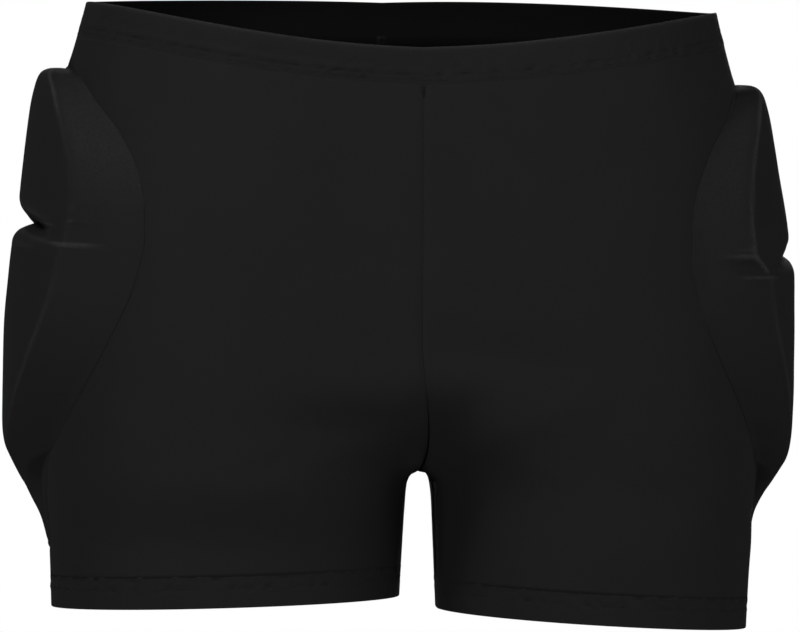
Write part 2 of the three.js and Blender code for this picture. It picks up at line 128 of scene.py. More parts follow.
# From one named height to another, share of the way, half depth of the seam and of the ridge, lift, and
# the share of the notch's depth that is cut there.
POCKET_COLUMNS = ("z", "seam", "ridge", "lift", "notch")
POCKET = (
    ("top", "notch", 0, 14, 6, 2, 0),
    ("top", "notch", 0.03, 28, 15, 9.5, 0),
    ("top", "notch", 0.07, 38, 23, 12.9, 0),
    ("top", "notch", 0.17, 50, 34.5, 14.1, 0),
    ("top", "notch", 0.36, 67.5, 46.5, 14.3, 0),
    ("top", "notch", 0.6, 79.2, 56, 14.6, 0),
    ("top", "notch", 0.84, 85, 61, 15.3, 0),
    ("top", "notch", 0.905, 85.5, 61.5, 15.6, 0.1),
    ("top", "notch", 0.945, 85.8, 61.5, 15.8, 0.42),
    ("top", "notch", 0.985, 86.1, 61.5, 16.1, 1),
    ("notch", "end", 0.01, 86.4, 61, 16.4, 1),
    ("notch", "end", 0.025, 86.6, 60.8, 16.7, 0.64),
    ("notch", "end", 0.045, 86.8, 60.5, 17.1, 0.27),
    ("notch", "end", 0.08, 86.95, 60, 17.4, 0.03),
    ("notch", "end", 0.12, 86.9, 59.6, 17.6, 0),
    ("notch", "end", 0.3, 84.6, 57.5, 18.4, 0),
    ("notch", "end", 0.46, 79.5, 51.5, 19, 0),
    ("notch", "end", 0.62, 71.5, 41, 19.2, 0),
    ("notch", "end", 0.78, 59, 27, 19.4, 0),
    ("notch", "end", 0.92, 44, 15, 19.5, 0),
    ("notch", "end", 1, 34, 9, 18.4, 0),
    ("end", "tip", 0.14, 28, 6, 15.7, 0),
    ("end", "tip", 0.3, 23, 4, 12, 0),
    ("end", "tip", 0.5, 18, 3, 7.3, 0),
    ("end", "tip", 0.72, 13, 2, 4, 0),
    ("end", "tip", 1, 7, 1, 2.1, 0),
)

# Soft hollows and swells of the cloth in front: side, middle x and z, half length, half height,
# slope and depth (a swell is negative).
FOLD_COLUMNS = ("side", "x", "z", "length", "height", "slope", "depth")
FOLDS = (
    (RIGHT, -42, -212, 36, 12, 0.05, 2.6),
    (RIGHT, -12, -205, 9, 16, 0.6, -0.9),
    (RIGHT, -74, -232, 26, 8, 0.35, 0.7),
    (LEFT, 44, -174, 36, 11, -0.1, 2.2),
    (LEFT, 22, -206, 15, 15, 0.7, 1.8),
    (LEFT, 62, -204, 30, 10, 0.5, -0.8),
    (LEFT, 84, -228, 26, 8, -0.4, 0.6),
)

# How deep and how wide the cloth dips along each seam.
SIDE_SEAM = (0.8, 1.3)
MIDDLE_SEAM = (1.5, 1.4)
BESIDE_POCKET = (0.25, 1.6)
POCKET_SEAM = (0.45, 1.6)

# Ripples of the cloth: height, seed and usual length.
MIDDLE_RIPPLES = (0.22, 11, 16)
PANEL_RIPPLES = (0.12, 5, 46)
NOTCH_RIPPLES = (0.35, 31, 13)
POCKET_RIPPLES = (0.16, 37, 24)
RIM_RIPPLES = (0.22, 41, 7)
# The middle seam's pull ripples the cloth this far beside it, from the first height down to the second.
MIDDLE_PULL_REACH = 9
MIDDLE_PULL_Z = (-40, -70)

# The panels' columns are evenly spaced at these heights, with more of them beside each seam, at these
# shares of a column's width. The rows crowd at the crotch, by this much and over this height.
OUTER_EVEN_AT = -150
INNER_EVEN_AT = -200
SEAM_COLUMNS = (0.1, 0.35, 0.8)
CROTCH_CROWD = 3.2
CROTCH_CROWD_REACH = 5
# The share of its ripples that a panel's edge keeps, and how far in the edge reaches.
EDGE_KEEPS = 0.55
EDGE_REACH = 2
# How far up and down, and between which columns, the inner thigh is rounded.
THIGH_ROUNDING = 11
THIGH_REACH = 32
THIGH_COLUMNS = ((1, 1.25), (2, 1.7))

# The pocket's rows crowd at its top, its notch and its lower end, by this much and over this height.
POCKET_CROWD = {"top": (5, 5), "notch": (2.5, 8), "end": (1.2, 14)}
POCKET_OVERHANG = {"top": 1.2, "tip": 4}
POCKET_GIRTH = 190
POCKET_WALL = 0.8

# Where each foam pad starts and ends between two named heights, and how it lies in its pocket.
FOAM_ENDS = {"upper": ("top", "notch", 0.06, 0.9), "lower": ("notch", "end", 0.08, 0.99)}
FOAM_ROWS, FOAM_COLUMNS = 44, 41
FOAM_SHARE = 0.9
FOAM_UNDER_CLOTH = 2.2
FOAM_OFF_HIP = 0.8
FOAM_LEAST = 0.8

# The bands' columns as a share of the mesh step, the steps up each wall, and how far the painted highlight
# along a fold reaches.
BAND_STEP = 0.7
BAND_STEPS = 16
FOLD_HIGHLIGHT_REACH = 1.2

# Heights of the rows of stitches, their distance inside the pocket's seam, and the stitches' lengths.
WAIST_STITCH_Z = (-13.4, -16.6)
HEM_STITCH_Z = (HEM_Z + 10.5, HEM_Z + 15.2)
POCKET_STITCH_INSIDE = (-2.2, 2.4)
WAIST_STITCH, HEM_STITCH, POCKET_STITCH = 3.1, 2.9, 2.8
POINTS_PER_STITCH = 6
THREAD_SIDES = 6


# Tables and curves


def bell(distance, reach):
    """1 at no distance, fading smoothly past its reach."""
    return np.exp(-((distance / reach) ** 2))


def ease(t):
    """A smooth step from 0 to 1."""
    t = np.clip(t, 0, 1)
    return t * t * (3 - 2 * t)


def mix(a, b, t):
    return a + (b - a) * t


def between(ends, value):
    """0 up to the first of two ends, 1 from the second."""
    return ease((value - ends[0]) / (ends[1] - ends[0]))


def column_at(rows, columns, name, z):
    """A column of a height table at heights z, on a smooth curve through its rows."""
    heights = np.array([row[0] for row in rows], float)[::-1]
    values = np.array([row[columns.index(name)] for row in rows], float)[::-1]
    slopes = np.empty_like(values)
    slopes[1:-1] = (values[2:] - values[:-2]) / (heights[2:] - heights[:-2])
    slopes[0] = (values[1] - values[0]) / (heights[1] - heights[0])
    slopes[-1] = (values[-1] - values[-2]) / (heights[-1] - heights[-2])
    i = np.clip(np.searchsorted(heights, z) - 1, 0, len(heights) - 2)
    step = heights[i + 1] - heights[i]
    t = np.clip((z - heights[i]) / step, 0, 1)
    start = values[i] * (1 + 2 * t) * (1 - t) ** 2
    finish = values[i + 1] * t * t * (3 - 2 * t)
    bend = step * (t * (1 - t) ** 2 * slopes[i] - t * t * (1 - t) * slopes[i + 1])
    return start + finish + bend


def waves(u, v, seed, scale):
    """A smooth field from -1 to 1 over lengths u and v, made of eight fixed waves."""
    rng = np.random.default_rng(seed)
    total = np.zeros(np.broadcast(u, v).shape)
    for _ in range(8):
        angle, phase, size = rng.uniform(0, math.tau, 2).tolist() + [rng.uniform(0.6, 1.7)]
        along = u * math.cos(angle) + v * math.sin(angle)
        total += np.sin(along * math.tau / (scale * size) + phase)
    return total / 8


def ripples(u, v, kind, seed_shift=0):
    """The offset of one kind of ripples over lengths u and v."""
    height, seed, length = kind
    return height * waves(u, v, seed + seed_shift, length)


def crowded(fine, density, spacing):
    """Heights along a fine row, a spacing apart where the density is 1 and closer where it is higher."""
    total = np.concatenate([[0], np.cumsum((density[1:] + density[:-1]) / 2)])
    count = round((fine[0] - fine[-1]) / spacing * total[-1] / len(total))
    return np.interp(np.linspace(0, total[-1], count), total, fine)


# The skin of the worn shorts


def half_body(side, z):
    """The measures of one half of the body at heights z, with x counted outwards from the middle."""
    body = {name: column_at(BODY, BODY_COLUMNS, name, z) for name in BODY_COLUMNS[1:]}
    shift = CROTCH_SHIFT * ease((SHIFT_FROM_Z - z) / (SHIFT_FROM_Z - CROTCH_Z))
    below = CROTCH_Z - z
    deeper = 1 + side * LEG_DEPTH_CHANGE * ease(below / 40)
    arch = ARCH_HALF_GAP[side] * np.sqrt(1 - (1 - np.clip(below / ARCH_RADIUS, 0, 1)) ** 2)
    return SimpleNamespace(
        shift=shift,
        below=below,
        reach=body["side"] - side * shift + side * LEG_SHIFT * ease((LEG_SHIFT_FROM_Z - z) / 25),
        axis=body["axis"] - side * shift / 2,
        square=body["square"],
        depth={FRONT: body["front"] * deeper, BACK: body["back"] * deeper},
        inseam=np.maximum(SEAM_GAP, arch + ARCH_SPREAD * np.maximum(0, below)),
    )


def closing(half, face):
    """How far the inner quarter of the outline closes: 1 where it meets the middle."""
    rise = np.clip(-half.below / RISE_RADIUS[face], 0, 1)
    depth_share = np.sqrt(1 - (1 - rise) ** 2)
    above = np.maximum(0.04, (1 - depth_share**half.square) ** (1 / half.square))
    return np.where(half.below >= 0, half.axis / (half.axis - half.inseam), above)


def outline_point(side, face, t, z):
    """Points of the skin: t is 0 at the side, 1 where the body stands furthest out, 2 at the inner seam."""
    half = half_body(side, z)
    power = 2 / half.square
    outer = np.clip(t, 0, 1) * math.pi / 2
    outer_x = half.axis + (half.reach - half.axis) * np.abs(np.cos(outer)) ** power
    outer_y = half.depth[face] * np.sin(outer) ** power
    closed = closing(half, face)
    limit = np.where(half.below >= 0, half.inseam, SEAM_GAP)
    end_share = np.clip(closed * (1 - limit / half.axis), 0, 1)
    inner = np.clip(t - 1, 0, 1) * np.arcsin(end_share ** (half.square / 2))
    inner_x = half.axis - half.axis / closed * np.sin(inner) ** power
    inner_y = half.depth[face] * np.abs(np.cos(inner)) ** power
    x = np.where(t <= 1, outer_x, inner_x)
    y = np.where(t <= 1, outer_y, inner_y)
    z = np.broadcast_to(z, x.shape)
    return np.stack([half.shift + side * x, face * np.maximum(SEAM_GAP, y), z], -1)


def row_height(side, face, t, nominal):
    """Heights of a row round the body: the waist dips in front and the hem falls outwards."""
    half = half_body(side, nominal)
    flat = outline_point(side, face, t, nominal)
    across = np.clip(side * (flat[..., 0] - half.shift) / half.reach, 0, 1)
    cut, power = WAIST_CUT[face]
    raised = WAIST_PULLED_UP * (1 - (1 - across) ** 2) if side == LEFT else 0
    waist = cut * np.abs(np.cos(across * math.pi / 2)) ** power + raised
    top = -BAND_HEIGHT - 0.3
    waist_share = 1 - ease((nominal - top) / (WAIST_FADE_TO - top))
    outside, inseam = HEM_HEIGHTS[side]
    outwards = np.clip((across * half.reach - half.inseam) / (half.reach - half.inseam), 0, 1)
    lift = HEM_FRONT_LIFT * np.abs(flat[..., 1] / half.depth[FRONT]) if face == FRONT else 0
    hem_drop = mix(inseam, outside, outwards) + lift - HEM_Z
    hem_share = ease((nominal - CROTCH_Z) / (HEM_Z + HEM_HEIGHT - CROTCH_Z))
    return nominal + waist * waist_share + hem_drop * hem_share


def skin_point(side, face, t, nominal):
    """Points of the skin on rows that follow the waist and the hem."""
    t, nominal = np.broadcast_arrays(np.asarray(t, float), np.asarray(nominal, float))
    return outline_point(side, face, t, row_height(side, face, t, nominal))


def tilted(points):
    """The points as the hips lean: every piece is tilted last and alike."""
    out = points.copy()
    out[..., 2] += HIP_TILT * points[..., 0]
    return out


def lattice_normals(points, middle):
    """Unit normals of a lattice of points, turned away from a middle point."""
    across = np.gradient(points, axis=1)
    down = np.gradient(points, axis=0)
    normals = np.cross(across, down)
    normals /= np.maximum(np.linalg.norm(normals, axis=-1, keepdims=True), 1e-9)
    rows, columns = points.shape[0] // 2, points.shape[1] // 3
    outwards = points[rows, columns] - middle
    if normals[rows, columns] @ outwards < 0:
        normals = -normals
    return normals


def equal_columns(side, face, start, end, nominal, spacing):
    """Values of t from start to end at equal spacings along the outline at one height."""
    fine = np.linspace(start, end, 1500)
    points = skin_point(side, face, fine, nominal)
    length = np.concatenate([[0], np.cumsum(np.linalg.norm(np.diff(points, axis=0), axis=1))])
    count = max(2, round(length[-1] / spacing))
    return np.interp(np.linspace(0, length[-1], count + 1), length, fine)


# The pockets over the hips


def pocket_ends(side):
    """The heights at which the pocket's seam starts and ends."""
    heights = POCKET_HEIGHTS[side]
    return heights["top"] + POCKET_OVERHANG["top"], heights["tip"] - POCKET_OVERHANG["tip"]


def pocket_rows(side):
    """The pocket's table with its heights worked out."""
    heights = POCKET_HEIGHTS[side]
    rows = [(mix(heights[a], heights[b], at), *rest) for a, b, at, *rest in POCKET]
    above, below = pocket_ends(side)
    top = (above, 3, 1, POCKET_RIM, 0)
    tip = (below, 2, 0.5, POCKET_RIM, 0)
    return (top, *rows, tip)


def pocket_column(side, name, z):
    """A column of the pocket's table, with its puff and its ridge set for the side."""
    value = column_at(pocket_rows(side), POCKET_COLUMNS, name, z)
    if name == "lift":
        near = bell(z - POCKET_HEIGHTS[side]["notch"], POCKET_PUFF_REACH)
        value = value + POCKET_PUFF[side] * near * ease((value - 2) / 6)
    if name == "ridge":
        top, notch = POCKET_HEIGHTS[side]["top"], POCKET_HEIGHTS[side]["notch"]
        share = mix(*UPPER_RIDGE[side], np.clip((top - z) / (top - notch), 0, 1))
        value = mix(value, pocket_column(side, "seam", z), share * ease((z - notch + 12) / 11))
    return value


def hip_point(side, y, z):
    """Points of the hip under a pocket, by depth and height."""
    half = half_body(side, z)
    depth = np.where(y < 0, half.depth[FRONT], half.depth[BACK])
    share = np.clip(np.abs(y / depth), 0, 1) ** half.square
    x = half.axis + (half.reach - half.axis) * (1 - share) ** (1 / half.square)
    return np.stack(np.broadcast_arrays(half.shift + side * x, y, z), -1)


def hip_normal(side, y, z):
    along = hip_point(side, y + 1, z) - hip_point(side, y - 1, z)
    up = hip_point(side, y, z + 1) - hip_point(side, y, z - 1)
    normal = np.cross(along, up) * side
    return normal / np.linalg.norm(normal, axis=-1, keepdims=True)


def notch_droop(side, y, z):
    """How much lower the notch runs towards the front and back than at the side."""
    near = bell(z - POCKET_HEIGHTS[side]["notch"], NOTCH_DROOP_REACH)
    return NOTCH_DROOP * ease(np.abs(y) / NOTCH_DROOP_BY) * near


def pocket_lift(side, y, z):
    """How far the pocket stands off the hip: a flat face whose flanks fall to the seam."""
    seam = pocket_column(side, "seam", z)
    ridge = pocket_column(side, "ridge", z)
    drooped = z + notch_droop(side, y, z)
    lift = np.maximum(pocket_column(side, "lift", drooped), POCKET_RIM)
    away = np.abs(y)
    cut = NOTCH_DEPTH[side] * pocket_column(side, "notch", drooped)
    cut = cut * (1 - between(NOTCH_ENDS, away))
    face = np.maximum(lift - cut - POCKET_CROWN * (away / np.maximum(ridge, 3)) ** 2, POCKET_RIM)
    fillet = np.minimum(POCKET_FILLET, np.maximum(seam - ridge, 2) / 4)
    steepness = np.maximum(lift - POCKET_CROWN - POCKET_RIM, 0.2) / np.maximum(seam - ridge - fillet, 2)
    inside = np.maximum(seam - away, 0)
    flank = POCKET_RIM + steepness * (inside - fillet * (1 - np.exp(-inside / fillet)))
    blend = np.clip(0.07 * lift, 0.25, 0.9)
    h = np.clip(0.5 + 0.5 * (flank - face) / blend, 0, 1)
    above = drooped - (POCKET_HEIGHTS[side]["notch"] - CREASE_BELOW[side])
    crease = np.where(above > 0, np.exp(-above / 5), bell(above, 1.2))
    crease = crease * between(CREASE_STARTS, away) * (1 - between(CREASE_FADES, away))
    return mix(flank, face, h) - blend * h * (1 - h) - CREASE_DEPTH[side] * crease * ease((lift - 3) / 6)


def pocket_surface(side, y, z, less=0.0):
    """Points of the pocket's outside, or of a surface less far from the hip."""
    lift = pocket_lift(side, y, z) - less
    return hip_point(side, y, z) + hip_normal(side, y, z) * lift[..., None]


# Making pieces


def lattice_bmesh(points, uv):
    """A grid of faces through a lattice of points in millimetres, with a map in millimetres too."""
    rows, columns = points.shape[:2]
    bm = bmesh.new()
    bmesh.ops.create_grid(bm, x_segments=columns - 1, y_segments=rows - 1, size=1, calc_uvs=True)
    bm.verts.ensure_lookup_table()
    flat = tilted(points).reshape(-1, 3) * MM
    for vert, place in zip(bm.verts, flat):
        vert.co = place
    layer = bm.loops.layers.uv.verify()
    flat_uv = uv.reshape(-1, 2) * MM
    for face in bm.faces:
        for loop in face.loops:
            loop[layer].uv = flat_uv[loop.vert.index]
    return bm


def lattice_uv(points):
    """Lengths along the columns and rows of a lattice, measured over its surface."""
    across = np.linalg.norm(np.diff(points, axis=1), axis=-1)
    down = np.linalg.norm(np.diff(points, axis=0), axis=-1)
    u = np.concatenate([np.zeros((points.shape[0], 1)), np.cumsum(across, axis=1)], axis=1)
    v = np.concatenate([np.zeros((1, points.shape[1])), np.cumsum(down, axis=0)], axis=0)
    return np.stack([u, -v], -1)


def face_outwards(bm, middle):
    """Turns all faces of an open sheet away from a middle point in metres."""
    bmesh.ops.recalc_face_normals(bm, faces=bm.faces)
    bm.normal_update()
    towards = sum(face.normal.dot(face.calc_center_median() - Vector(middle)) for face in bm.faces)
    if towards < 0:
        bmesh.ops.reverse_faces(bm, faces=bm.faces)


def half_middle(side):
    """A point in the middle of one half of the shorts, which its cloth looks away from."""
    return np.array([side * 90.0, 0.0, -150.0])


def write_painted_highlight(bm, values):
    """Stores on each point how strong the painted highlight is there, which the cloth's colour reads."""
    layer = bm.verts.layers.float.new("painted_highlight")
    for vert, value in zip(bm.verts, values.ravel()):
        vert[layer] = float(value)


def mesh_object(name, bm, material, node):
    """The finished piece, in place of a CAD node where one is named."""
    mesh = bpy.data.meshes.new(name)
    bm.to_mesh(mesh)
    bm.free()
    mesh.shade_smooth()
    mesh.materials.append(material)
    obj = bpy.data.objects.new(name, mesh)
    bpy.context.scene.collection.objects.link(obj)
    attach(obj, "root")
    if node:
        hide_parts(node)
    return obj


def thicken(obj, wall):
    """Gives a sheet its wall, inwards, with the inside faces in the darker inside cloth that paints the
    shade within.
    """
    solidify = obj.modifiers.new("wall", "SOLIDIFY")
    solidify.thickness = wall
    solidify.offset = -1
    solidify.use_even_offset = False
    obj.data.materials.append(shared_material("shaded_inner_cloth"))
    solidify.material_offset = 1


def seam_roll(distance, depth, width):
    """How far cloth dips towards a seam, by its distance from it."""
    return -depth * bell(distance, width)


# Materials


def new_group(name, inputs, outputs):
    """A shader node group with its sockets, and its two end nodes."""
    group = bpy.data.node_groups.new(name, "ShaderNodeTree")
    for label, kind, value in inputs:
        socket = group.interface.new_socket(label, in_out="INPUT", socket_type=kind)
        if value is not None:
            socket.default_value = value
    for label, kind in outputs:
        group.interface.new_socket(label, in_out="OUTPUT", socket_type=kind)
    return group, group.nodes.new("NodeGroupInput"), group.nodes.new("NodeGroupOutput")


def math_node(tree, operation, *inputs):
    """The output of a math node fed by numbers and sockets."""
    node = tree.nodes.new("ShaderNodeMath")
    node.operation = operation
    for i, value in enumerate(inputs):
        if isinstance(value, (int, float)):
            node.inputs[i].default_value = value
        else:
            tree.links.new(value, node.inputs[i])
    return node.outputs[0]


def knit_group():
    """Jersey loops over a map in metres: a height, and a mask that is dark between the ribs, for painted
    shade in the knit's grooves.
    """
    inputs = [
        ("Map", "NodeSocketVector", None),
        ("Rib", "NodeSocketFloat", 0.0008),
        ("Course", "NodeSocketFloat", 0.0006),
    ]
    outputs = [("Height", "NodeSocketFloat"), ("Mask", "NodeSocketFloat")]
    group, start, end = new_group("Knit", inputs, outputs)
    split = group.nodes.new("ShaderNodeSeparateXYZ")
    group.links.new(start.outputs["Map"], split.inputs[0])
    across = math_node(group, "DIVIDE", split.outputs["X"], start.outputs["Rib"])
    wrapped = math_node(group, "FRACT", across)
    leg = math_node(group, "ABSOLUTE", math_node(group, "SUBTRACT", wrapped, 0.5))
    down = math_node(group, "DIVIDE", split.outputs["Y"], start.outputs["Course"])
    slanted = math_node(group, "ADD", down, math_node(group, "MULTIPLY", leg, 1.4))
    loop = math_node(group, "SINE", math_node(group, "MULTIPLY", slanted, math.tau))
    rib = math_node(group, "SINE", math_node(group, "MULTIPLY", across, math.tau))
    ribs = math_node(group, "MULTIPLY", rib, 0.6)
    loops = math_node(group, "MULTIPLY", loop, 0.4)
    height = math_node(group, "ADD", ribs, loops)
    group.links.new(height, end.inputs["Height"])
    mask = math_node(group, "MULTIPLY_ADD", height, 0.5, 0.5)
    group.links.new(mask, end.inputs["Mask"])
    return group


def mottle_group():
    """Uneven dye and wear: a value near 1 that drifts over centimetres and flecks over millimetres."""
    inputs = [
        ("Place", "NodeSocketVector", None),
        ("Drift", "NodeSocketFloat", 0.12),
        ("Fleck", "NodeSocketFloat", 0.25),
    ]
    outputs = [("Value", "NodeSocketFloat"), ("Fuzz", "NodeSocketFloat")]
    group, start, end = new_group("Mottle", inputs, outputs)
    fields = []
    for scale, detail in ((28.0, 3.0), (1100.0, 2.0)):
        noise = group.nodes.new("ShaderNodeTexNoise")
        noise.inputs["Scale"].default_value = scale
        noise.inputs["Detail"].default_value = detail
        group.links.new(start.outputs["Place"], noise.inputs["Vector"])
        fields.append(math_node(group, "SUBTRACT", noise.outputs["Fac"], 0.5))
    drift = math_node(group, "MULTIPLY", fields[0], start.outputs["Drift"])
    fleck = math_node(group, "MULTIPLY", fields[1], start.outputs["Fleck"])
    both = math_node(group, "ADD", drift, fleck)
    group.links.new(math_node(group, "MULTIPLY_ADD", both, 2.0, 1.0), end.inputs["Value"])
    group.links.new(fields[1], end.inputs["Fuzz"])
    return group


def tinted(tree, colour, value):
    """A colour made lighter or darker by a value round 1."""
    scale = tree.nodes.new("ShaderNodeVectorMath")
    scale.operation = "SCALE"
    scale.inputs[0].default_value = colour
    tree.links.new(value, scale.inputs["Scale"])
    return scale.outputs[0]


def new_material(name, roughness, gloss):
    """A material with its node tree, shader and coordinates."""
    material = bpy.data.materials.new(name)
    material.use_nodes = True
    tree = material.node_tree
    shader = tree.nodes["Principled BSDF"]
    shader.inputs["Roughness"].default_value = roughness
    shader.inputs["Specular IOR Level"].default_value = gloss
    return material, tree, shader, tree.nodes.new("ShaderNodeTexCoord")


def add_relief(tree, shader, height, strength, distance):
    """Feeds a height to the shader's normal."""
    bump = tree.nodes.new("ShaderNodeBump")
    bump.inputs["Strength"].default_value = strength
    bump.inputs["Distance"].default_value = distance
    tree.links.new(height, bump.inputs["Height"])
    tree.links.new(bump.outputs["Normal"], shader.inputs["Normal"])


def cloth_material(name, colour, rib, relief, fleck, sheen, painted_highlight=0.0):
    """Black stretch jersey: ribs and loops with painted shade between them, uneven dye, a painted highlight
    where the mesh marks it, a soft sheen.
    """
    material, tree, shader, place = new_material(name, 0.72, 0.12)
    knit = tree.nodes.new("ShaderNodeGroup")
    knit.node_tree = bpy.data.node_groups.get("Knit") or knit_group()
    knit.inputs["Rib"].default_value = rib
    knit.inputs["Course"].default_value = rib * 0.75
    tree.links.new(place.outputs["UV"], knit.inputs["Map"])
    mottle = tree.nodes.new("ShaderNodeGroup")
    mottle.node_tree = bpy.data.node_groups.get("Mottle") or mottle_group()
    mottle.inputs["Fleck"].default_value = fleck
    tree.links.new(place.outputs["Object"], mottle.inputs["Place"])
    # Painted shade: darker in the grooves between the ribs and loops.
    shade = math_node(tree, "MULTIPLY_ADD", knit.outputs["Mask"], 0.35, 0.82)
    value = math_node(tree, "MULTIPLY", shade, mottle.outputs["Value"])
    # Painted highlight: paler where the mesh's attribute marks it, flecked with glinting specks.
    if painted_highlight:
        highlight_attribute = tree.nodes.new("ShaderNodeAttribute")
        highlight_attribute.attribute_name = "painted_highlight"
        glint_specks = math_node(tree, "MULTIPLY_ADD", mottle.outputs["Fuzz"], 3.0, 1.0)
        raised = math_node(tree, "MULTIPLY", highlight_attribute.outputs["Fac"], glint_specks)
        highlight_gain = math_node(tree, "MULTIPLY_ADD", raised, painted_highlight, 1.0)
        value = math_node(tree, "MULTIPLY", value, highlight_gain)
    tree.links.new(tinted(tree, colour, value), shader.inputs["Base Color"])
    height = math_node(tree, "MULTIPLY_ADD", mottle.outputs["Fuzz"], 1.6, knit.outputs["Height"])
    add_relief(tree, shader, height, relief, 0.00012)
    shader.inputs["Sheen Weight"].default_value = sheen
    shader.inputs["Sheen Roughness"].default_value = 0.45
    return material


def foam_material(name, colour):
    """Closed-cell foam: small pits with painted shade in them, in a dull dark grey."""
    material, tree, shader, place = new_material(name, 0.9, 0.2)
    cells = tree.nodes.new("ShaderNodeTexVoronoi")
    cells.inputs["Scale"].default_value = 900
    tree.links.new(place.outputs["Object"], cells.inputs["Vector"])
    # Painted shade: darker at the bottom of each pit.
    value = math_node(tree, "MULTIPLY_ADD", cells.outputs["Distance"], 0.6, 0.7)
    tree.links.new(tinted(tree, colour, value), shader.inputs["Base Color"])
    add_relief(tree, shader, cells.outputs["Distance"], 0.5, 0.0003)
    return material


def thread_material(name, colour):
    """Twisted polyester thread, a little glossier than the cloth."""
    material, tree, shader, place = new_material(name, 0.65, 0.15)
    twist = tree.nodes.new("ShaderNodeTexWave")
    twist.inputs["Scale"].default_value = 900
    twist.inputs["Distortion"].default_value = 1.5
    twist.bands_direction = "DIAGONAL"
    tree.links.new(place.outputs["Object"], twist.inputs["Vector"])
    value = math_node(tree, "MULTIPLY_ADD", twist.outputs["Fac"], 0.5, 0.75)
    tree.links.new(tinted(tree, colour, value), shader.inputs["Base Color"])
    return material


# Relief and flecks of each outer cloth.
CLOTH_LOOKS = {"panel_cloth": (0.35, 0.14), "pocket_cloth": (0.45, 0.2), "band_cloth": (0.5, 0.22)}


def shared_material(name):
    """One of the shared materials, made when it is first asked for."""
    made = bpy.data.materials.get(name)
    if made:
        return made
    looks = bpy.context.scene.padded_shorts
    cloth = tuple(looks.cloth_colour)
    if name == "soft_foam":
        return foam_material(name, tuple(looks.foam_colour))
    if name == "sewing_thread":
        return thread_material(name, tuple(looks.thread_colour))
    # The inside cloth: the knit's colour darkened, which paints the shade inside the shorts, with no sheen.
    if name == "shaded_inner_cloth":
        return cloth_material(name, tuple(c * looks.inside for c in cloth), looks.rib * MM, 0.3, 0.3, 0)
    relief, fleck = CLOTH_LOOKS[name]
    # Only the pockets and the bands get a painted highlight.
    painted_highlight = 0.0 if name == "panel_cloth" else looks.painted_highlight
    return cloth_material(name, cloth, looks.rib * MM, relief, fleck, looks.sheen, painted_highlight)


# Pieces


def front_folds(points, side, face):
    """The soft hollows that the pull at the crotch leaves in front."""
    total = np.zeros(points.shape[:2])
    if face == BACK:
        return total
    x, z = points[..., 0], points[..., 2]
    for row in FOLDS:
        fold = dict(zip(FOLD_COLUMNS, row))
        if fold["side"] != side:
            continue
        dx = x - fold["x"]
        dz = z - fold["z"] - fold["slope"] * dx
        reach = (dx / fold["length"]) ** 2 + (dz / fold["height"]) ** 2
        total -= fold["depth"] * np.exp(-reach)
    return total * ease(np.abs(points[..., 1]) / 40)


def pocket_distance(side, points):
    """Distance of skin points outside the pocket's seam, in millimetres, negative inside it."""
    heights = POCKET_HEIGHTS[side]
    z = points[..., 2]
    seam = pocket_column(side, "seam", np.clip(z, heights["tip"], heights["top"]))
    slope = np.gradient(seam, axis=0) / np.minimum(np.gradient(z, axis=0), -1e-3)
    beside = (np.abs(points[..., 1]) - seam) / np.sqrt(1 + slope**2)
    beyond = np.maximum(z - heights["top"] - 1, heights["tip"] - 4 - z)
    return np.where(beyond > 0, np.hypot(np.maximum(beside, 0), beyond), beside)


def panel_rows(spacing):
    """Nominal row heights, closest together where the rise turns under the crotch."""
    top, bottom = -BAND_HEIGHT, HEM_Z + HEM_HEIGHT
    fine = np.linspace(top, bottom, 4000)
    return crowded(fine, 1 + CROTCH_CROWD * bell(fine - CROTCH_Z, CROTCH_CROWD_REACH), spacing)


def soften_thigh(points, columns, rows):
    """Rounds the inner thigh where the legs part, leaving the panel's edges where they are."""
    distance = rows[:, None] - rows[None, :]
    weight = bell(distance, THIGH_ROUNDING) * np.abs(np.gradient(rows))[None, :]
    weight /= weight.sum(axis=1, keepdims=True)
    smooth = np.einsum("ij,jkl->ikl", weight, points)
    inwards = between(THIGH_COLUMNS[0], columns) * between(THIGH_COLUMNS[1], columns)
    near = bell(rows - CROTCH_Z, THIGH_REACH)
    amount = (near[:, None] * inwards[None, :])[..., None] * np.array([1, 1, 0])
    return points + (smooth - points) * amount


def panel_points(side, face, spacing):
    """The lattice of one panel, from the side seam to the middle."""
    outer = equal_columns(side, face, 0, 1, OUTER_EVEN_AT, spacing)
    inner = equal_columns(side, face, 1, 2, INNER_EVEN_AT, spacing)
    first = [(outer[1] - outer[0]) * share for share in SEAM_COLUMNS]
    last = [2 - (inner[-1] - inner[-2]) * share for share in reversed(SEAM_COLUMNS)]
    columns = np.concatenate([[0], first, outer[1:], inner[1:-1], last, [2]])
    rows = panel_rows(spacing)
    points = skin_point(side, face, columns[None, :], rows[:, None])
    return soften_thigh(points, columns, rows)


